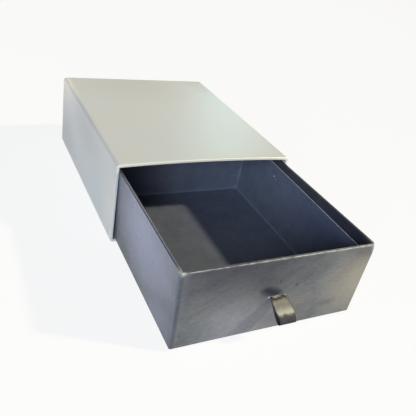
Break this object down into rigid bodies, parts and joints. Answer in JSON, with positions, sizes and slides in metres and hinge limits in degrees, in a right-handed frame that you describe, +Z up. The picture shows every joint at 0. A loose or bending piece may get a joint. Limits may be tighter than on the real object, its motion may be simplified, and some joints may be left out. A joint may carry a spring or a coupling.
{
  "type": "sliding drawer gift box",
  "caption": "Rigid paper-covered gift box: a lined open tray slides out of a four-sided sleeve with a closed back, drawn by a short ribbon loop in its front wall",
  "frame": {"origin": "middle of the sleeve's flat base, which is mount base_rest", "axes": "+X to the right as seen from the open mouth, +Y from the mouth to the closed back, +Z up; the drawer comes out along -Y"},
  "size_m": [0.152, 0.3258, 0.0707],
  "materials": {
    "pearl_paper": "pale grey-green pearl paper, satin sheen",
    "charcoal_paper": "charcoal embossed paper with a soft metallic sheen",
    "navy_lining_paper": "dark navy lining paper, half gloss",
    "sleeve_lining_paper": "plain pale lining paper, matt",
    "greyboard": "uncoated greyboard",
    "kraft_tape": "gummed paper tape",
    "satin_ribbon": "taupe satin ribbon"
  },
  "bodies": {
    "sleeve": {"sleeve_board": "greyboard", "sleeve_back_board": "greyboard", "sleeve_joint_tape": "kraft_tape", "sleeve_wrap": "pearl_paper", "sleeve_back_paper": "pearl_paper", "sleeve_liner": "sleeve_lining_paper", "sleeve_back_liner": "sleeve_lining_paper"},
    "drawer": {"tray_base_board": "greyboard", "tray_front_board": "greyboard", "tray_back_board": "greyboard", "tray_left_board": "greyboard", "tray_right_board": "greyboard", "tray_corner_tapes": "kraft_tape", "tray_wrap": "charcoal_paper", "tray_wall_liner": "navy_lining_paper", "tray_floor_liner": "navy_lining_paper", "ribbon_tails": "satin_ribbon"},
    "pull": {"ribbon_loop": "satin_ribbon"}
  },
  "joints": [
    {"name": "drawer_slide", "type": "slide", "parent": "sleeve", "child": "drawer", "axis": [0, -1, 0], "range_m": [-0.1228, 0.0615]},
    {"name": "loop_swing", "type": "hinge", "parent": "drawer", "child": "pull", "pos_m": [0.0016, -0.2136, 0.0319], "axis": [-1, 0, 0], "range_deg": [-50, 85]}
  ]
}
